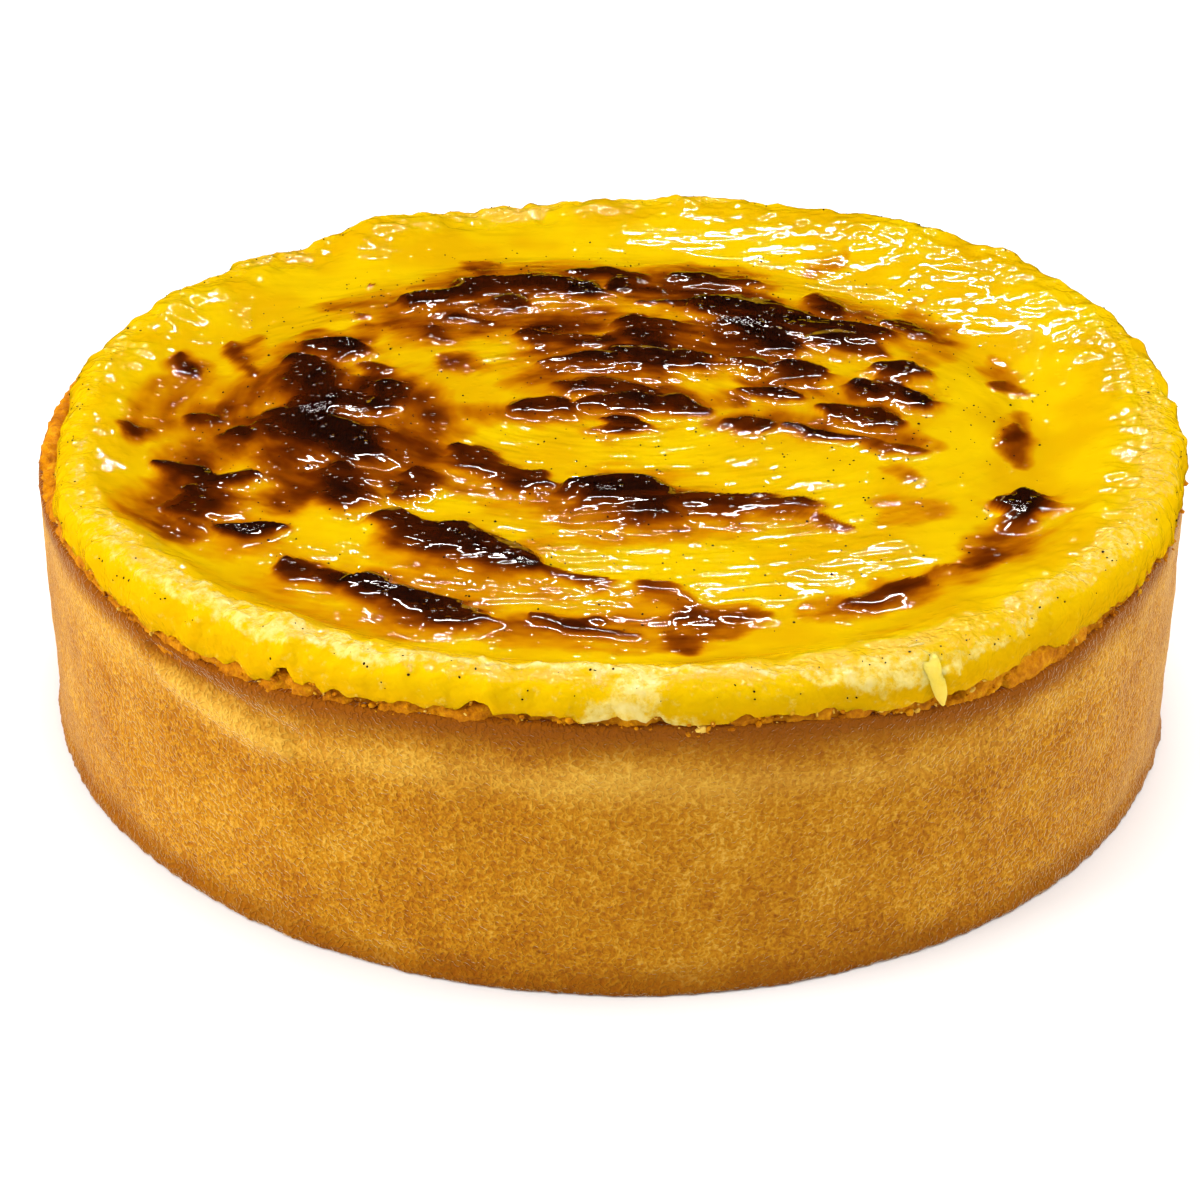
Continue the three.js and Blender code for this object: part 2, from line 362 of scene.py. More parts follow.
def stroke_reach(x, y, half, points):
    """How far each place is from a stroke, as a share of its half width, and how far behind it.

    The stroke is the line through its points. Its half width tapers to its ends. The distance is
    to the nearest place on the line. Also gives the half width there.
    """
    lengths = [np.hypot(bx - ax, by - ay) for (ax, ay), (bx, by) in zip(points, points[1:])]
    total, done = sum(lengths), 0
    reach, behind, width_here = np.full(x.shape, np.inf), np.zeros(x.shape), np.ones(x.shape)
    for (ax, ay), (bx, by), length in zip(points, points[1:], lengths):
        along = np.clip(((x - ax) * (bx - ax) + (y - ay) * (by - ay)) / length**2, 0, 1)
        off_x, off_y = x - ax - along * (bx - ax), y - ay - along * (by - ay)
        whole = (done + along * length) / total
        width = half * (0.55 + 0.5 * (4 * whole * (1 - whole)) ** 0.5)
        here = np.hypot(off_x, off_y) / width
        nearer = here < reach
        reach = np.where(nearer, here, reach)
        behind = np.where(nearer, (FOLD_WAY[0] * off_x + FOLD_WAY[1] * off_y) / width, behind)
        width_here = np.where(nearer, width, width_here)
        done += length
    return reach, behind, width_here


def blisters(x, y):
    """Scorch, the fold edges, and the rise of the skin, from the strokes with noise in their edges.

    A blister rises slowly towards its back edge, where it drops off. It is darkest along that edge,
    and fades softly in front.
    """
    place = np.stack([x, y, np.zeros_like(x)], axis=-1)
    broad_x, broad_y = (BROAD_WANDER * layered(place, 9, seed, 2) for seed in (11, 21))
    fine_x, fine_y = (FINE_WANDER * layered(place, 2.2, seed, 2) for seed in (31, 41))
    drawn = around(x + broad_x, y + broad_y, 7, 2.8)
    streak = STREAK_WANDER * layered(drawn, 1, 45, 3) / (np.hypot(x, y) + 1e-6)
    x, y = x + broad_x + fine_x + streak * x, y + broad_y + fine_y + streak * y
    clear, rise, edge = np.ones_like(x), np.zeros_like(x), np.zeros_like(x)
    for half, scorch, height, points in BLISTERS:
        reach, behind, width = stroke_reach(x, y, half, points)
        back = smoothstep(-0.2, 0.6, behind)
        soft, crisp = smoothstep(1.7, 0.1, reach), smoothstep(1.35, 0.65, reach)
        clear *= 1 - STROKE_STRENGTH * scorch * mix(soft, crisp, back)
        clear *= 1 - HALO_STRENGTH * scorch * bell(reach, mix(2.1, 1.5, back))
        slow, steep = np.clip(1 - (reach / 1.9) ** 2, 0, 1) ** 1.2, smoothstep(1.3, 0.7, reach)
        rise = np.maximum(rise, height * mix(slow, steep, back))
        away = np.abs(reach - FOLD_EDGE) * width
        edge = np.maximum(edge, back * smoothstep(0.35, 0.7, height) * np.exp(-away / 1.1))
    for half, scorch, points in BROWNINGS:
        reach = stroke_reach(x, y, half, points)[0]
        clear *= 1 - scorch * smoothstep(1.7, 0.2, reach)
    return 1 - clear, edge, rise


def around(x, y, long, across):
    """A place for noise drawn out along flattened rings: x, ring size and y over lengths."""
    ring = np.sqrt(RING_SQUEEZE * x * x + y * y)
    return np.stack([x / long, ring / across, y / (2 * long)], axis=-1)


def skin_relief(x, y):
    """Rise of the skin's blisters, folds and ripples over its plain height, scorch and edges."""
    scorch, edge, rise = blisters(x, y)
    place = np.stack([x, y, np.zeros_like(x)], axis=-1)
    radius = np.hypot(x, y)
    drawn = around(x + 2 * noise(place, 12, 5), y + 2 * noise(place, 12, 6), 9, 5.0)
    streaks = layered(drawn, 1, 51, 3)
    swell = layered(place, 14, 71, 2)
    haze = smoothstep(-0.3, 0.7, layered(place, 17, 75, 3)) * (1 - smoothstep(60, 80, radius))
    scorch = 1 - (1 - scorch) * (1 - haze * mix(0.13, 0.04, smoothstep(-40, 20, x)))
    turn = np.degrees(np.arctan2(x, -y))
    foot = lip_radius(turn) - LIP_INSET - 0.75 * slope_width(turn)
    # Painted shade: an amber ring of extra scorch along the foot of the lip's inner slope, where
    # that slope lies in shade.
    ring = bell(radius - foot - 2.5, 6) * waves(((-25, 60, 1.0), (55, 45, 0.7)), turn)
    scorch = 1 - (1 - scorch) * (1 - 0.12 * ring * (0.8 + 0.5 * layered(place, 9, 77, 3)))
    drawn = around(x + 1.5 * noise(place, 9, 7), y + 1.5 * noise(place, 9, 8), 10, 2.6)
    uneven = 0.12 * streaks + 0.13 * layered(drawn, 1, 57, 2) + 0.08 * layered(place, 3.0, 61, 3)
    scorch = scorch + uneven * (0.12 + 2.4 * scorch * (1 - scorch) + 0.3 * scorch)
    inside = 1 - smoothstep(76, 88, radius)
    relief = BLISTER_SHARE * rise + (STREAKS * streaks + SWELLS * swell) * (0.3 + 0.7 * inside)
    relief += PIMPLES * noise(place, 2.4, 62) * (0.3 + scorch)
    return relief, np.clip(scorch, 0, 1), edge


def crinkle(x, y):
    """Where the skin is finely crinkled: the back right with its slope, and the lip all round."""
    flakes = bell(x - 45, 26) * bell(y - 54, 20) + 0.8 * bell(x - 70, 9) * bell(y, 26)
    radius, turn = np.hypot(x, y), np.degrees(np.arctan2(x, -y))
    ribbed = waves(((80, 36, 1.0), (150, 40, 0.55), (-140, 50, 0.6)), turn)
    return np.clip(flakes + ribbed * smoothstep(84, 93, radius), 0, 1)


def ripple(x, y):
    """How strongly the skin is wrinkled: in patches inside the lip's slope, and little outside."""
    place = np.stack([x, y, np.zeros_like(x)], axis=-1)
    patches = 0.55 + 0.45 * smoothstep(-0.35, 0.3, layered(place, 17, 221, 2))
    return patches * (1 - 0.75 * smoothstep(66, 80, np.hypot(x, y)))


def skin_height(x, y, turn):
    """Plain height of the skin inside the crest, and its share of the lip's slope, from 0 to 1."""
    radius = np.hypot(x, y)
    crest_radius = lip_radius(turn) - LIP_INSET
    slope = smoothstep(crest_radius - slope_width(turn), crest_radius, radius)
    plateau = 1 - smoothstep(PLATEAU_RADIUS, PLATEAU_RADIUS + PLATEAU_EDGE, radius)
    return mix(SKIN_HEIGHT + PLATEAU_RISE * plateau, crest_height(turn), slope), slope


def skin_surface(x, y):
    """Points, scorch and fold edges of the skin at places inside the crest."""
    turn = np.degrees(np.arctan2(x, -y))
    plain, slope = skin_height(x, y, turn)
    relief, scorch, edge = skin_relief(x, y)
    return np.stack([x, y, plain + relief * (1 - slope)], axis=-1), scorch, edge


def disc(side):
    """Places of a square grid pushed out to a circle of radius 1, with faces of about one size."""
    a, b = np.meshgrid(np.linspace(-1, 1, side + 1), np.linspace(-1, 1, side + 1), indexing="ij")
    wide = np.abs(a) > np.abs(b)
    radius = np.where(wide, a, b)
    safe = np.where(radius == 0, 1, radius)
    swing = np.where(wide, np.pi / 4 * b / safe, np.pi / 2 - np.pi / 4 * a / safe)
    return radius * np.cos(swing), radius * np.sin(swing)


# Meshes.


def grid_faces(rows, columns, closed, tube=False):
    """Four-sided faces between neighbours of a grid.

    Closed joins its last column to the first, and tube its last row to the first.
    """
    counts = np.arange(rows - (not tube)), np.arange(columns - (not closed))
    row, column = np.meshgrid(*counts, indexing="ij")
    right, above = (column + 1) % columns, (row + 1) % rows
    corners = [row * columns + column, row * columns + right]
    corners += [above * columns + right, above * columns + column]
    return np.stack(corners, axis=-1).reshape(-1, 4)


def mesh_piece(name, points, faces, material, attributes=None, smooth=True):
    """A mesh from points in millimetres and groups of three-sided or four-sided faces."""
    mesh = bpy.data.meshes.new(name)
    corners = np.concatenate([np.asarray(group).reshape(-1) for group in faces])
    totals = np.concatenate([np.full(len(group), np.asarray(group).shape[1]) for group in faces])
    mesh.vertices.add(len(points))
    mesh.vertices.foreach_set("co", (np.asarray(points) * MM).astype(np.float32).ravel())
    mesh.loops.add(len(corners))
    mesh.loops.foreach_set("vertex_index", corners.astype(np.int32))
    mesh.polygons.add(len(totals))
    starts = np.concatenate([[0], np.cumsum(totals)[:-1]])
    mesh.polygons.foreach_set("loop_start", starts.astype(np.int32))
    mesh.polygons.foreach_set("use_smooth", np.full(len(totals), smooth))
    mesh.update(calc_edges=True)
    for key, values in (attributes or {}).items():
        layer = mesh.attributes.new(key, "FLOAT", "POINT")
        layer.data.foreach_set("value", np.asarray(values, np.float32).ravel())
    mesh.materials.append(material)
    piece = bpy.data.objects.new(name, mesh)
    bpy.context.scene.collection.objects.link(piece)
    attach(piece, "root")
    return piece


def fan(ring, middle, outward):
    """Triangles from a ring of points to one in the middle, wound to face the wanted way."""
    ahead = np.roll(ring, -1)
    pair = (ring, ahead) if outward else (ahead, ring)
    return np.stack([*pair, np.full(len(ring), middle)], axis=-1)


# Materials. Their colours are red, green, blue and alpha, linear.

DEEP_YELLOW = (0.565, 0.310, 0.0006, 1)
YELLOW = (0.63, 0.400, 0.0008, 1)
# The lip's own lemon yellow, kept brighter than the skin's as painted light on its less lit face.
LIP_LEMON_PAINTED_LIGHT = (0.66, 0.400, 0.001, 1)
# The darker amber yellow towards the lip's foot is painted shade.
LIP_FOOT_PAINTED_SHADE = (0.61, 0.315, 0.001, 1)
# Tan of the threads along the folds, partly a painted reflection.
FOLD_THREAD_AND_REFLECTION_TAN = (0.38, 0.20, 0.006, 1)
TORN_CREAM = (0.71, 0.54, 0.110, 1)
MILKY_CREAM = (0.74, 0.61, 0.240, 1)
CRUMB_AMBER, CRUMB_CREAM = (0.62, 0.30, 0.006, 1), (0.78, 0.52, 0.09, 1)
DRIP_YELLOW, DRIP_CREAM = (0.80, 0.56, 0.035, 1), (0.82, 0.63, 0.13, 1)
SEED_BLACK = (0.02, 0.008, 0.002, 1)
PASTRY_TAN, PASTRY_CREAM = (0.54, 0.240, 0.018, 1), (0.74, 0.42, 0.055, 1)
# Brown of toasted pastry, also used as painted shadow and painted shade.
TOASTED_AND_SHADOW_BROWN = (0.25, 0.066, 0.0004, 1)
FLOOR_WHITE = (0.92, 0.92, 0.92, 1)


class Shade:
    """One output in a material's node tree. Arithmetic on it adds Math nodes."""

    def __init__(self, tree, socket=None):
        self.tree = tree
        self.socket = socket

    def node(self, kind, settings, sockets, output=0):
        """Adds a node: its settings first, then a value or a link for each of its sockets."""
        made = self.tree.nodes.new(kind)
        for name, value in settings.items():
            if name == "stops":
                set_stops(made.color_ramp, value)
            else:
                setattr(made, name, value)
        for name, value in sockets.items():
            if isinstance(value, Shade):
                self.tree.links.new(value.socket, made.inputs[name])
            else:
                made.inputs[name].default_value = value
        return Shade(self.tree, made.outputs[output])

    def math(self, operation, *values):
        """Adds a Math node on this value and any others."""
        sockets = dict(enumerate((self, *values)))
        return self.node("ShaderNodeMath", {"operation": operation}, sockets)

    def __add__(self, other):
        return self.math("ADD", other)

    def __sub__(self, other):
        return self.math("SUBTRACT", other)

    def __rsub__(self, other):
        return self * -1 + other

    def __mul__(self, other):
        return self.math("MULTIPLY", other)

    def __truediv__(self, other):
        return self.math("DIVIDE", other)

    def __pow__(self, other):
        return self.math("POWER", other)

    __radd__ = __add__
    __rmul__ = __mul__

    def ramp(self, *stops):
        """A colour or a grey for each value from 0 to 1."""
        return self.node("ShaderNodeValToRGB", {"stops": stops}, {"Fac": self})

    def step(self, low, high):
        """A soft step from 0 at low to 1 at high."""
        ends = {"Value": self, "From Min": low, "From Max": high}
        return self.node("ShaderNodeMapRange", {"interpolation_type": "SMOOTHSTEP"}, ends)

    def colour(self, first, second):
        """A mix of two colours, by this share of the second."""
        return self.node("ShaderNodeMix", {"data_type": "RGBA"}, {0: self, 6: first, 7: second}, 2)


def set_stops(ramp, stops):
    """Sets a ramp's stops, each a place from 0 to 1 and a colour without its alpha."""
    while len(ramp.elements) < len(stops):
        ramp.elements.new(0.5)
    for element, (place, colour) in zip(ramp.elements, stops):
        element.position = place
        element.color = (*colour, 1)


class Finish:
    """A material under way: its places and patterns, in millimetres, and its shader's sockets."""

    def __init__(self, name):
        self.material = bpy.data.materials.new(name)
        self.material.use_nodes = True
        self.tree = self.material.node_tree
        self.shader = self.tree.nodes["Principled BSDF"]
        self.start = Shade(self.tree)
        place = self.start.node("ShaderNodeTexCoord", {}, {}, "Object")
        sockets = {0: place, "Scale": 1 / MM}
        self.place = self.start.node("ShaderNodeVectorMath", {"operation": "SCALE"}, sockets)

    def attribute(self, name):
        return self.start.node("ShaderNodeAttribute", {"attribute_name": name}, {}, "Fac")

    def noise(self, size, detail=3.0, rough=0.5, place=None):
        """Noise from 0 to 1 with lumps of about one size in millimetres."""
        sockets = {"Vector": place or self.place, "Scale": 1 / size}
        sockets.update({"Detail": detail, "Roughness": rough})
        return self.start.node("ShaderNodeTexNoise", {}, sockets)

    def upright(self, share):
        """A place for noise that is drawn out upwards: its height counts for a share only."""
        sockets = {0: self.place, 1: (1.0, 1.0, share)}
        return self.start.node("ShaderNodeVectorMath", {"operation": "MULTIPLY"}, sockets)

    def part(self, axis):
        """One coordinate of the place, by its number."""
        return self.start.node("ShaderNodeSeparateXYZ", {}, {"Vector": self.place}, axis)

    def around(self, long, across):
        """A place drawn out along flattened rings: x, ring size and y over lengths."""
        x, y = self.part(0), self.part(1)
        ring = (x * x * RING_SQUEEZE + y * y) ** 0.5
        sockets = {0: x / long, 1: ring / across, 2: y / (2 * long)}
        return self.start.node("ShaderNodeCombineXYZ", {}, sockets)

    def lines(self, size, width):
        """Thin winding lines: 1 along the middle level of smooth noise, and 0 away from it."""
        return (self.noise(size, 1) - 0.5).math("ABSOLUTE").step(width, 0)

    def domes(self, apart, radius):
        """Scattered domes, 1 in their middles and 0 away from them. Radius is a share of apart."""
        sockets = {"Vector": self.place, "Scale": 1 / apart, "Randomness": 1.0}
        away = self.start.node("ShaderNodeTexVoronoi", {}, sockets) / radius
        return (1 - away * away).math("MAXIMUM", 0.0)

    def bump(self, height, depth):
        """Fine relief of a depth in millimetres."""
        sockets = {"Height": height, "Distance": depth * MM, "Strength": 1.0}
        return self.start.node("ShaderNodeBump", {}, sockets)

    def glow_through(self, depth):
        """Light goes into the surface and comes out warmer, up to a depth in millimetres away."""
        self.set(Subsurface_Weight=1.0, Subsurface_Scale=depth * MM)
        self.set(Subsurface_Radius=(1.0, 0.7, 0.35))
        self.shader.subsurface_method = "BURLEY"

    def set(self, **sockets):
        """Sets the shader's sockets to values or links. A socket's name has _ for its spaces."""
        for name, value in sockets.items():
            socket = self.shader.inputs[name.replace("_", " ")]
            if isinstance(value, Shade):
                self.tree.links.new(value.socket, socket)
            else:
                socket.default_value = value


def custard_finish():
    """Glossy yellow custard that browns and blackens with scorch, and pales where it tore."""
    finish = Finish("baked_custard")
    scorch, edge, pale = (finish.attribute(name) for name in ("scorch", "edge", "pale"))
    crinkled, rippled = finish.attribute("crinkle"), finish.attribute("ripple")
    middle = scorch * (1 - scorch)
    mottle = finish.noise(1.0, 2, 0.6, finish.around(7, 3.0))
    depth = scorch + (mottle - 0.5) * (middle * 1.7 + 0.05)
    clouds = finish.noise(16, 2).step(0.34, 0.66)
    yellow = clouds.colour(DEEP_YELLOW, YELLOW)
    on_lip = pale.step(0, 0.3)
    # Painted shade: the lip's face turns a darker amber yellow towards its foot, where the rounded
    # face is shaded.
    painted_shade_low_face = on_lip * finish.part(2).step(53, 47.5)
    # On the lip, a brighter lemon yellow: partly its own colour, partly painted light.
    yellow = on_lip.colour(yellow, LIP_LEMON_PAINTED_LIGHT)
    yellow = (painted_shade_low_face * 0.8).colour(yellow, LIP_FOOT_PAINTED_SHADE)
    browned = depth.ramp(
        (0.10, (0.56, 0.31, 0.0006)),
        (0.24, (0.49, 0.195, 0.0005)),
        (0.38, (0.34, 0.097, 0.0004)),
        (0.52, (0.20, 0.041, 0.0004)),
        (0.66, (0.10, 0.016, 0.0004)),
        (0.82, (0.040, 0.0058, 0.0004)),
        (0.97, (0.011, 0.0024, 0.001)),
    )
    colour = depth.step(0.04, 0.16).colour(yellow, browned)
    # A tan thread along each fold's back edge: partly the skin's own colour, partly a painted
    # reflection of the fold's crest.
    thread = edge.step(0.68, 0.90) * finish.noise(6, 0).step(0.36, 0.50)
    colour = (thread * 0.5).colour(colour, FOLD_THREAD_AND_REFLECTION_TAN)
    blotches = finish.noise(1.7, 3, 0.6) - 0.5
    torn = (pale + blotches * 1.9).step(0.40, 1.0)
    colour = (torn * 0.85).colour(colour, TORN_CREAM)
    milky = (pale + blotches * 1.6).step(0.62, 1.4)
    colour = (milky * 0.8).colour(colour, MILKY_CREAM)
    wrinkles = finish.noise(1.0, 1, 0.32, finish.around(7, 2.5)) * rippled * (1 - scorch * 0.75)
    dots = finish.domes(2.2, 0.30) * (scorch * 0.8 + 0.2)
    flakes = finish.noise(1.6, 1, 0.45, finish.around(3.4, 2.6)) * crinkled
    char = finish.noise(1.0, 1, 0.6) * scorch.step(0.93, 1.0) * finish.noise(9, 0).step(0.5, 0.6)
    height = wrinkles * 0.80 + dots * 0.15 + flakes * 0.75 + char * 0.3 + thread * 0.15
    soft = finish.noise(1.3, 1, 0.55) * pale.step(0.05, 0.30)
    height = height + torn * 0.20 + soft * 0.6
    dullness = pale.step(0.05, 0.30) * 0.03 + torn * 0.10 + 0.03
    finish.set(Base_Color=colour, Roughness=dullness, Normal=finish.bump(height, 1.0))
    finish.glow_through(2.5)
    return finish.material


def toasted_finish():
    """Glazed orange-brown crumbs, where the custard boiled onto the rim."""
    finish = Finish("toasted_edge")
    tone = finish.noise(1.0, 4, 0.6) * 0.6 + finish.noise(5, 2) * 0.4
    colour = tone.ramp(
        (0.30, (0.20, 0.046, 0.0005)),
        (0.42, (0.40, 0.120, 0.0010)),
        (0.54, (0.54, 0.190, 0.0010)),
        (0.70, (0.70, 0.330, 0.0040)),
    )
    finish.set(Base_Color=colour, Roughness=0.5, Normal=finish.bump(finish.noise(0.7, 3), 0.4))
    finish.set(Specular_IOR_Level=0.05)
    return finish.material


def crumb_finish():
    """Small wet crumbs of set custard, cream to amber."""
    finish = Finish("custard_crumbs")
    colour = finish.noise(2.2, 2).step(0.35, 0.65).colour(CRUMB_AMBER, CRUMB_CREAM)
    finish.set(Base_Color=colour, Roughness=0.15)
    return finish.material


def drip_finish():
    """Thin pale custard, wet and a little clear."""
    finish = Finish("pale_custard")
    colour = finish.noise(1.6, 2).colour(DRIP_YELLOW, DRIP_CREAM)
    finish.set(Base_Color=colour, Roughness=0.2, Normal=finish.bump(finish.noise(1.2, 2), 0.3))
    finish.glow_through(1.5)
    return finish.material


def vanilla_finish():
    finish = Finish("vanilla_seeds")
    finish.set(Base_Color=SEED_BLACK, Roughness=0.9, Specular_IOR_Level=0.1)
    return finish.material


def pastry_finish():
    """Matt golden shortcrust with fibres and pores, paler under the rim, toasted at its edges, with
    painted shadow under the lip, painted shade in the crease and a painted highlight on the ridge.
    """
    finish = Finish("baked_pastry")
    # Toasted is toasting with painted shadow and shade in it, and light is a pale band with a
    # painted highlight.
    toasted, light = finish.attribute("toasted"), finish.attribute("light")
    broad = finish.noise(13, 3)
    fibres = finish.lines(1.15, 0.12)
    pores = finish.noise(0.7, 2, 0.6)
    drawn = finish.noise(0.9, 1, 0.55, finish.upright(0.25))
    tone = broad * 0.46 + fibres * 0.15 + pores * 0.60 + drawn * 0.16 - 0.145
    colour = tone.ramp(
        (0.26, (0.24, 0.064, 0.001)),
        (0.38, (0.36, 0.118, 0.002)),
        (0.50, (0.45, 0.170, 0.003)),
        (0.62, (0.54, 0.235, 0.008)),
        (0.78, (0.68, 0.360, 0.045)),
    )
    paler = tone.step(0.25, 0.75).colour(PASTRY_TAN, PASTRY_CREAM)
    # The pale band under the rim, and the ridge's painted highlight.
    colour = (light * 0.8).colour(colour, paler)
    # The toasted brown also paints the shadow under the lip and the shade in the crease.
    colour = toasted.colour(colour, TOASTED_AND_SHADOW_BROWN)
    relief = fibres * 0.30 + pores * 0.6 + drawn * 0.2
    finish.set(Base_Color=colour, Roughness=0.9, Normal=finish.bump(relief, 0.45))
    finish.set(Specular_IOR_Level=0.15, Sheen_Weight=0.62, Sheen_Roughness=0.22)
    finish.set(Sheen_Tint=(1.0, 0.80, 0.52, 1))
    return finish.material


# Pieces.


def ragged_edge(turn):
    """Height of the lip's torn lower edge over the rim: small notches, and teeth at the right."""
    place = polar(turn, LIP_RADIUS, 0)
    notches = 1.1 + 1.1 * layered(place, 2.6, 101, 3) + 0.7 * layered(place, 6.0, 111, 2)
    notches += 1.9 * smoothstep(0.15, 0.5, noise(place, 4.2, 117))
    notches += 1.3 * smoothstep(0.0, 0.5, noise(place, 2.4, 119)) * waves(((-42, 26, 1.0),), turn)
    teeth = 2.2 * smoothstep(-0.1, 0.5, noise(place, 2.6, 121)) * waves(((56, 12, 1.0),), turn)
    return np.clip(notches + teeth + waves(((40, 4.5, 2.2), (6, 3.5, -1.8)), turn), 0.2, 4.2)


def torn_pale(turn, along, points):
    """How pale the lip is: a torn band along its crest, and patches that run down its face."""
    wander = layered(points, 7.0, 131, 4, 0.6)
    wider = waves(((-44, 24, 1.6), (-6, 12, -0.3), (75, 30, 1.8)), turn)
    width = 1.0 + 0.8 * noise(points, 12.0, 141) + wider
    centre = 1.2 + waves(((-10, 14, -1.6), (30, 14, 3.2)), turn)
    band = 0.82 * smoothstep(width + 1.2, width - 0.4, np.abs(along - centre + 1.5 * wander))
    arc, height = np.radians(turn) * LIP_RADIUS + 0.9 * wander, points[..., 2] + 0.6 * wander
    for half, line in PALE_PATCHES:
        patch = smoothstep(2.1, 0.0, stroke_reach(arc, height, half, line)[0])
        band = np.maximum(band, patch * smoothstep(-1, 0.5, along))
    band = band * waves(((-10, 70, 1.0), (75, 45, 0.3), (-150, 50, 0.35)), turn).clip(0, 1)
    return np.maximum(band, 0.3 * smoothstep(-5, 0, along) * waves(((0, 95, 1.0),), turn))


def lip_rings():
    """The lip: from the disc's edge over the crest, down the outer face and in under the custard.

    Its outer face is a quarter of a squared-off ellipse. Lumps, ribs and the pale band's thickness
    push the points out along the profile's own normal. Gives its points, scorch, edge and paleness
    by row and column, and how many of its rows show.
    """
    turn = all_round(COLUMNS)
    crest_radius = lip_radius(turn) - LIP_INSET
    share = np.linspace(0, 1, LIP_ROWS_INSIDE + 1)[:, None]
    inner = polar(turn, mix(SEAM_RADIUS, crest_radius, share), 0)
    inside, scorch, edge = skin_surface(inner[..., 0], inner[..., 1])
    low = rim_height(turn) + ragged_edge(turn)
    quarter = np.radians(np.linspace(90, 0, LIP_ROWS_OUTSIDE + 1)[1:, None])
    outer_radius = crest_radius + LIP_INSET * np.cos(quarter) ** LIP_FULLNESS
    outer_height = low + (crest_height(turn) - low) * np.sin(quarter) ** LIP_FULLNESS
    shown = np.concatenate([inside, polar(turn, outer_radius, outer_height)])
    steps = np.linalg.norm(np.diff(shown, axis=0), axis=-1)
    along = np.concatenate([np.zeros((1, len(turn))), np.cumsum(steps, axis=0)])
    along = along - along[LIP_ROWS_INSIDE]
    pale = torn_pale(turn[None], along, shown)
    tilt = np.concatenate([np.full((LIP_ROWS_INSIDE + 1, 1), np.pi / 2), quarter])
    out = polar(turn, np.cos(tilt), np.sin(tilt))
    ribs = noise(polar(turn, 76 + along / 3.5, along * 0), 1.0, 151)
    ribbed = waves(((78, 34, 1.0), (-150, 40, 0.35)), turn)
    rough = 1 + waves(((-140, 50, 1.0), (-45, 28, 0.8), (80, 40, 0.8), (150, 30, 0.6)), turn)
    lumps = LIP_LUMPS * layered(shown, 3.2, 161, 3) + LIP_SWELLS * layered(shown, 9.0, 171, 2)
    thick = pale * (PALE_THICKNESS + PALE_LUMPS * layered(shown, 2.4, 181, 3))
    relief = (lumps * rough + LIP_RIBS * ribs * ribbed + thick) * smoothstep(-12, -2, along)
    shown = shown + out * relief[..., None]
    middle = SHELL_RADIUS - WALL_THICKNESS - INSIDE_GAP
    tucked = polar(turn, lip_radius(turn) - LIP_TUCK, low)
    under_height = [low - 0.2, (low + CUSTARD_FOOT) / 2, np.full_like(low, CUSTARD_FOOT)]
    under = polar(turn, middle, np.stack(under_height))
    rings = np.concatenate([shown, tucked[None], under])
    marks = np.zeros((3, *rings.shape[:2]))
    marks[0, : len(scorch)], marks[1, : len(edge)], marks[2, : len(pale)] = scorch, edge, pale
    return rings, marks, len(shown)


def custard_body(material):
    """The custard: the disc lifted to the skin's height, the lip's rings round it, and its foot.

    Gives the skin's points and scorch, and the points of the lip's face, for what lies on them.
    """
    a, b = disc(SIDE)
    skin, scorch, edge = skin_surface(SEAM_RADIUS * a, SEAM_RADIUS * b)
    rings, ring_marks, shown = lip_rings()
    foot = [[0, 0, CUSTARD_FOOT]]
    points = np.concatenate([skin.reshape(-1, 3), rings[1:].reshape(-1, 3), foot])
    round_edge = np.flatnonzero(np.hypot(a, b).ravel() > 1 - 1e-9)
    turn = np.degrees(np.arctan2(points[round_edge, 0], -points[round_edge, 1]))
    seam = np.empty(COLUMNS, int)
    seam[np.round(turn * COLUMNS / 360).astype(int) % COLUMNS] = round_edge
    rows = len(rings)
    outer = scorch.size + np.arange((rows - 1) * COLUMNS)
    ids = np.concatenate([seam, outer])
    faces = [grid_faces(SIDE + 1, SIDE + 1, False), ids[grid_faces(rows, COLUMNS, True)]]
    faces += [fan(ids[-COLUMNS:], len(points) - 1, True)]
    marks = {"crinkle": crinkle(points[:, 0], points[:, 1])}
    marks["ripple"] = ripple(points[:, 0], points[:, 1])
    inside = {"scorch": scorch, "edge": edge, "pale": 0 * scorch}
    for (name, values), outside in zip(inside.items(), ring_marks):
        marks[name] = np.concatenate([values.ravel(), outside[1:].ravel(), [0]])
    piece = mesh_piece("custard_body", points, faces, material, marks)
    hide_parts("custard")
    return skin.reshape(-1, 3), scorch.ravel(), rings[LIP_ROWS_INSIDE:shown]


def toasted_edge(material):
    """The band between the rim and the lip: an ellipse carried round the rim, half sunk in it.

    Noise pushes its points along its normal: lumps out of it, and pits into it.
    """
    turn = all_round(COLUMNS)
    bend = np.radians(all_round(TOASTED_COLUMNS))[:, None]
    rise = TOASTED_HALF_HEIGHT + waves(TOASTED_WAVES, turn)
    rise = rise + 0.5 * layered(polar(turn, 97, 0), 4, 195, 2)
    radius = TOASTED_RADIUS + waves(WALL_LEANS, turn) + TOASTED_HALF_WIDTH * np.cos(bend)
    plain = polar(turn, radius, rim_height(turn) - 0.5 + rise * np.sin(bend))
    holes = smoothstep(0.30, 0.55, layered(plain, 2.6, 201, 2))
    lumps = TOASTED_LUMPS * layered(plain, 1.6, 191, 3) - TOASTED_PITS * holes
    out = polar(turn, np.cos(bend), np.sin(bend))
    points = plain + out * lumps[..., None]
    faces = grid_faces(*points.shape[:2], True, tube=True)
    piece = mesh_piece("toasted_edge", points.reshape(-1, 3), [faces], material)


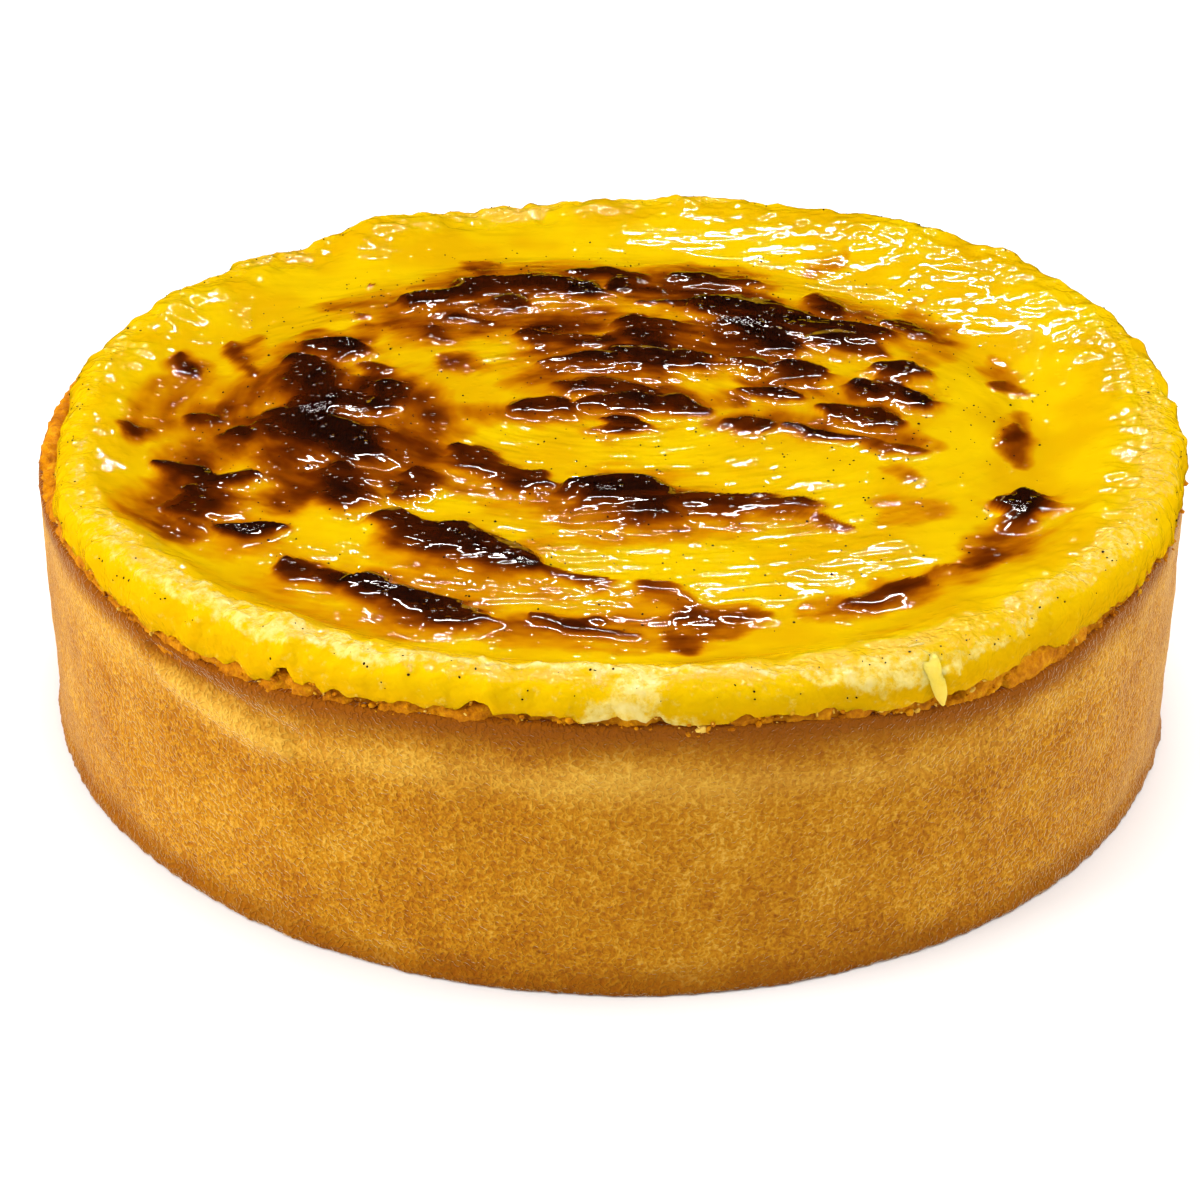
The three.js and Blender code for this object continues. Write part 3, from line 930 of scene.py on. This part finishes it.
def ball():
    """A ball with twelve corners, of three crossed golden rectangles, and twenty faces.

    Every three corners that are a side apart make a face, wound to face outwards.
    """
    golden = (1 + 5**0.5) / 2
    corners = [(0, a, b * golden) for a in (-1, 1) for b in (-1, 1)]
    corners = np.array([np.roll(corner, turn) for turn in range(3) for corner in corners])
    corners = corners / np.linalg.norm(corners[0])
    side_and_more = 1.2
    close = np.linalg.norm(corners[:, None] - corners[None], axis=-1) < side_and_more
    threes = np.array([(i, j, k) for i in range(12) for j in range(i) for k in range(j)])
    faces = threes[np.all([close[threes[:, a], threes[:, a - 1]] for a in range(3)], axis=0)]
    first, second, third = corners[faces].transpose(1, 0, 2)
    facing = (np.cross(second - first, third - first) * first).sum(axis=1)
    faces[facing < 0] = faces[facing < 0][:, ::-1]
    return corners, faces


def scattered(name, places, sizes, flat, seed, material):
    """Small many-sided lumps at some places: one ball, stretched, turned and moved."""
    chance = np.random.default_rng(seed)
    corners, near = ball()
    count = len(places)
    turned = np.linalg.qr(chance.normal(size=(count, 3, 3)))[0]
    turned *= np.sign(np.linalg.det(turned))[:, None, None]
    stretch = chance.uniform(0.45, 1.5, (count, 1, 3)) * np.asarray(sizes)[:, None, None]
    balls = np.einsum("nij,nkj->nki", turned, corners * stretch)
    balls[..., 2] *= flat
    points = (balls + np.asarray(places)[:, None, :]).reshape(-1, 3)
    faces = (near[None] + len(corners) * np.arange(count)[:, None, None]).reshape(-1, 3)
    return mesh_piece(name, points, [faces], material, smooth=False)


def joint_crumbs(edge, pale, toasted):
    """Crumbs along the joint, pale ones of custard and toasted ones of the shell's rim."""
    chance = np.random.default_rng(7)
    for name, count, material, slot in (
        ("custard_crumbs", CUSTARD_CRUMBS, pale, "baked_custard"),
        ("toasted_crumbs", TOASTED_CRUMBS, toasted, "baked_pastry"),
    ):
        turn = chance.uniform(-180, 180, count)
        column = np.round(turn / 360 * len(edge)).astype(int) % len(edge)
        places = edge[column].copy()
        places[:, 2] += chance.uniform(-1.9, 0.2, count)
        radius = np.hypot(places[:, 0], places[:, 1])
        places[:, :2] *= ((radius - 0.3 + 0.3 * chance.uniform(-1, 1, count)) / radius)[:, None]
        sizes = mix(*CRUMB_RADII, chance.random(count) ** 3)
        scattered(name, places, sizes, 0.8, 8, material)


def vanilla_specks(skin, scorch, face, material):
    """Vanilla seeds in the skin, where it isn't black, and in the lip's face."""
    chance = np.random.default_rng(11)
    well_in = np.hypot(skin[:, 0], skin[:, 1]) < SEAM_RADIUS - 2
    clear = np.flatnonzero((scorch < BLACKENED) & well_in)
    on_skin = skin[chance.choice(clear, SEEDS_IN_SKIN, replace=False)]
    rows, columns = face.shape[:2]
    row, column = (chance.integers(0, top, SEEDS_IN_LIP) for top in (rows - 3, columns))
    on_face = face[row, column]
    places = np.concatenate([on_skin, on_face])
    sizes = chance.uniform(*SEED_RADII, len(places))
    scattered("vanilla_specks", places, sizes, 1.0, 12, material)


def custard_drips(material):
    """Strips of pale custard that hang from the crest down the lip's face.

    A flat rounded section is carried down the face while it narrows, and a point closes either end.
    """
    for number, (half, line) in enumerate(DRIPS):
        along = np.linspace(0, 1, DRIP_ROWS)[:, None]
        bend = np.radians(all_round(DRIP_COLUMNS))[None]
        spots = np.array(line, float)
        knots = np.linspace(0, 1, len(spots))
        turn, height = (np.interp(along, knots, spots[:, axis]) for axis in (0, 1))
        ends = (1 - along**22) ** 0.5 * (1 - (1 - along) ** 22) ** 0.5
        width = half * (1.35 - 0.80 * along**0.6 + 0.04 * np.sin(11 * along)) * ends
        width = width * (1 - 0.45 * smoothstep(0.8, 1.0, along))
        low, crest = rim_height(turn), crest_height(turn)
        climb = np.clip((height - low) / (crest - low), 0, 1) ** (2 / LIP_FULLNESS)
        face = lip_radius(turn) - LIP_INSET + LIP_INSET * (1 - climb) ** (LIP_FULLNESS / 2)
        arc = turn + np.degrees(width * np.cos(bend) / LIP_RADIUS)
        out = 0.8 + 0.1 * smoothstep(0.05, 0.6, along) + DRIP_HALF_THICKNESS * ends * np.sin(bend)
        points = polar(arc, face + out, height)
        rows, columns = points.shape[:2]
        first, last = points[0].mean(axis=0), points[-1].mean(axis=0)
        points = np.concatenate([points.reshape(-1, 3), [first, last]])
        ring = np.arange(columns)
        faces = [grid_faces(rows, columns, True), fan(ring, rows * columns, False)]
        faces += [fan(ring + (rows - 1) * columns, rows * columns + 1, True)]
        piece = mesh_piece(f"custard_drip_{number + 1}", points, faces, material)


def crust_wall(turn, rim):
    """The outer wall with its squeezed foot, and by row and column its toasting with painted shadow
    and shade, and its paleness with a painted highlight.

    Noise, a low ridge and a crease move its points in and out along the radius.
    """
    share = np.linspace(0, 1, WALL_ROWS)[:, None]
    height = mix(BASE_ROUNDING, rim - RIM_ROUNDING, share)
    foot = FOOT_SPREAD * smoothstep(FOOT_HEIGHT + 0.8, FOOT_HEIGHT - 0.8, height)
    wall = polar(turn, wall_radius(turn, height) + foot, height)
    under_rim = rim - height
    arc = np.radians(turn) * SHELL_RADIUS + 0 * height
    ridge = bell(stroke_reach(arc, height, RIDGE_HALF_WIDTH, RIDGE)[0], 1)
    crease = bell(stroke_reach(arc, height, CREASE_HALF_WIDTH, CREASE)[0], 1)
    crumble = smoothstep(3.0, 0.0, under_rim) + smoothstep(2.5, 0.0, height)
    bumps = CRUST_SWELLS * layered(wall, 11, 81, 3) + CRUST_GRAIN * layered(wall, 1.6, 91, 3)
    bumps = bumps + CRUST_CRUMBLE * crumble * layered(wall, 1.5, 95, 3)
    bumps = bumps + RIDGE_RISE * ridge - CREASE_DEPTH * crease
    radius = np.hypot(wall[..., 0], wall[..., 1])
    wall[..., :2] *= ((radius + bumps) / radius)[..., None]
    tone = layered(wall, 7, 97, 3)
    deep = 5.0 + waves(((5, 40, 3.5),), turn)
    # The dark band under the rim: toasted pastry, and painted shadow where the lip overhangs it.
    toasted = smoothstep(deep + 1.5 * tone, 0.8, under_rim)
    # The foot is toasted darker, and the crease gets painted shade.
    toasted = np.maximum(toasted, 0.75 * smoothstep(6.5, 0.5, height + 1.2 * tone)) + 0.25 * crease
    paler = 0.35 + waves(((-1, 8, 0.6), (-20, 8, 0.3), (14, 9, 0.3), (-48, 14, 0.3)), turn)
    # Light: a pale band under the dark band, and a painted highlight along the ridge.
    light = paler * bell(under_rim - deep - 1.5 - 1.5 * tone, 3.2) + 0.6 * ridge
    return wall, toasted, light


def crust(material):
    """The shell turned round: base, wall, squared-off round rim, inside and floor."""
    turn = all_round(SHELL_COLUMNS)
    rim = rim_height(turn)
    wall, toasted, light = crust_wall(turn, rim)
    top = wall_radius(turn, rim)
    inside = top - WALL_THICKNESS
    bend = np.radians(np.linspace(0, 180, RIM_ROWS + 1)[1:, None])
    swing = np.sign(np.cos(bend)) * np.abs(np.cos(bend)) ** RIM_POWER
    rounded_height = rim - RIM_ROUNDING + RIM_ROUNDING * np.sin(bend) ** RIM_POWER
    rounded = polar(turn, (top + inside) / 2 + WALL_THICKNESS / 2 * swing, rounded_height)
    corner = np.stack([inside, inside - FLOOR_FILLET])
    under = polar(turn, corner, np.array([[FLOOR_THICKNESS + FLOOR_FILLET], [FLOOR_THICKNESS]]))
    base = polar(turn, SHELL_RADIUS - BASE_INSET, 0.0)[None]
    rings = np.concatenate([base, wall, rounded, under])
    rows, columns = rings.shape[:2]
    points = np.concatenate([rings.reshape(-1, 3), [[0, 0, 0], [0, 0, FLOOR_THICKNESS]]])
    first = np.arange(columns)
    last = first + (rows - 1) * columns
    faces = [grid_faces(rows, columns, True)]
    faces += [fan(first, rows * columns, False), fan(last, rows * columns + 1, True)]
    marks = {}
    for name, values, beyond in (("toasted", toasted, 1.0), ("light", light, 0.0)):
        after = np.full(len(points) - values.size - columns, beyond)
        marks[name] = np.concatenate([values[0], values.ravel(), after])
    piece = mesh_piece("crust", points, faces, material, marks)
    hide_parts("pastry_shell")


# The stage.

CAMERA_DISTANCE = 460.0
CAMERA_RISE = 29.97
CAMERA_ROLL = 1.09
CAMERA_TARGET = (-2.07, 0.0, 11.23)
CAMERA_LENS = 75.39
FLOOR_HALF = 3.0
LIGHTS_AIM = (0, 0, 0.04)

# Lights, in metres and watts: name, place, width and height, power. The soft ones light the flan
# and don't show in its skin. The others only show as glints in the skin.
SOFT_LIGHTS = (
    ("top", (0.1, 0.1, 1.2), (0.9, 0.9), 12.5),
    ("key", (-0.9, -0.35, 0.6), (0.5, 0.5), 7),
    ("left fill", (-0.9, 0.1, 0.14), (0.5, 0.25), 3.6),
    ("right fill", (0.9, 0.1, 0.14), (0.5, 0.25), 4.2),
)
GLINTS = (
    ("low strip", (0.03, 0.57, 0.60), (0.42, 0.010), 1.6),
    ("window", (-0.08, 0.26, 0.80), (0.07, 0.030), 0.8),
    ("right glint", (0.50, 0.20, 0.66), (0.10, 0.05), 0.9),
)
SURROUND_LIGHT = 0.65


def add_camera():
    """Stands back from the target along its own axis, after it is tilted up and rolled."""
    data = bpy.data.cameras.new("camera")
    data.lens = CAMERA_LENS
    camera = bpy.data.objects.new("camera", data)
    bpy.context.scene.collection.objects.link(camera)
    target = Matrix.Translation(Vector(CAMERA_TARGET) * MM)
    tilt = Matrix.Rotation(np.radians(90 - CAMERA_RISE), 4, "X")
    roll = Matrix.Rotation(np.radians(CAMERA_ROLL), 4, "Z")
    back = Matrix.Translation((0, 0, CAMERA_DISTANCE * MM))
    camera.matrix_world = target @ tilt @ roll @ back
    bpy.context.scene.camera = camera


def add_floor():
    data = bpy.data.meshes.new("floor")
    corners = [(x * FLOOR_HALF, y * FLOOR_HALF, 0) for x, y in ((-1, -1), (1, -1), (1, 1), (-1, 1))]
    data.from_pydata(corners, [], [(0, 1, 2, 3)])
    finish = Finish("white_floor")
    finish.set(Base_Color=FLOOR_WHITE, Roughness=0.9)
    data.materials.append(finish.material)
    floor = bpy.data.objects.new("floor", data)
    bpy.context.scene.collection.objects.link(floor)
    floor.visible_glossy = False


def add_light(name, place, size, power, diffuse, glossy):
    """A rectangular light that faces the flan, and lights it or shows in its glossy skin."""
    data = bpy.data.lights.new(name, "AREA")
    data.shape = "RECTANGLE"
    data.size, data.size_y = size
    data.energy = power
    light = bpy.data.objects.new(name, data)
    bpy.context.scene.collection.objects.link(light)
    look = Vector(LIGHTS_AIM) - Vector(place)
    turned = look.to_track_quat("-Z", "Y").to_matrix().to_4x4()
    light.matrix_world = Matrix.Translation(place) @ turned
    light.visible_diffuse = diffuse
    light.visible_glossy = glossy
    light.visible_camera = False


def add_world():
    """A plain white surround. It lights less than it shows, so that the flan keeps its colour."""
    world = bpy.data.worlds.new("studio")
    bpy.context.scene.world = world
    world.use_nodes = True
    background = world.node_tree.nodes["Background"]
    background.inputs["Color"].default_value = (1, 1, 1, 1)
    seen = Shade(world.node_tree).node("ShaderNodeLightPath", {}, {}, "Is Camera Ray")
    strength = seen * (1 - SURROUND_LIGHT) + SURROUND_LIGHT
    world.node_tree.links.new(strength.socket, background.inputs["Strength"])
    world.cycles_visibility.glossy = False


add_camera()
skin_points, skin_scorch, face_points = custard_body(custard_finish())
toasted = toasted_finish()
custard_drips(drip_finish())
crust(pastry_finish())
toasted_edge(toasted)
joint_crumbs(face_points[-1], crumb_finish(), toasted)
vanilla_specks(skin_points, skin_scorch, face_points, vanilla_finish())
add_floor()
add_world()
for light_row in SOFT_LIGHTS:
    add_light(*light_row, diffuse=True, glossy=False)
for light_row in GLINTS:
    add_light(*light_row, diffuse=False, glossy=True)
bpy.context.scene.view_settings.view_transform = "Standard"
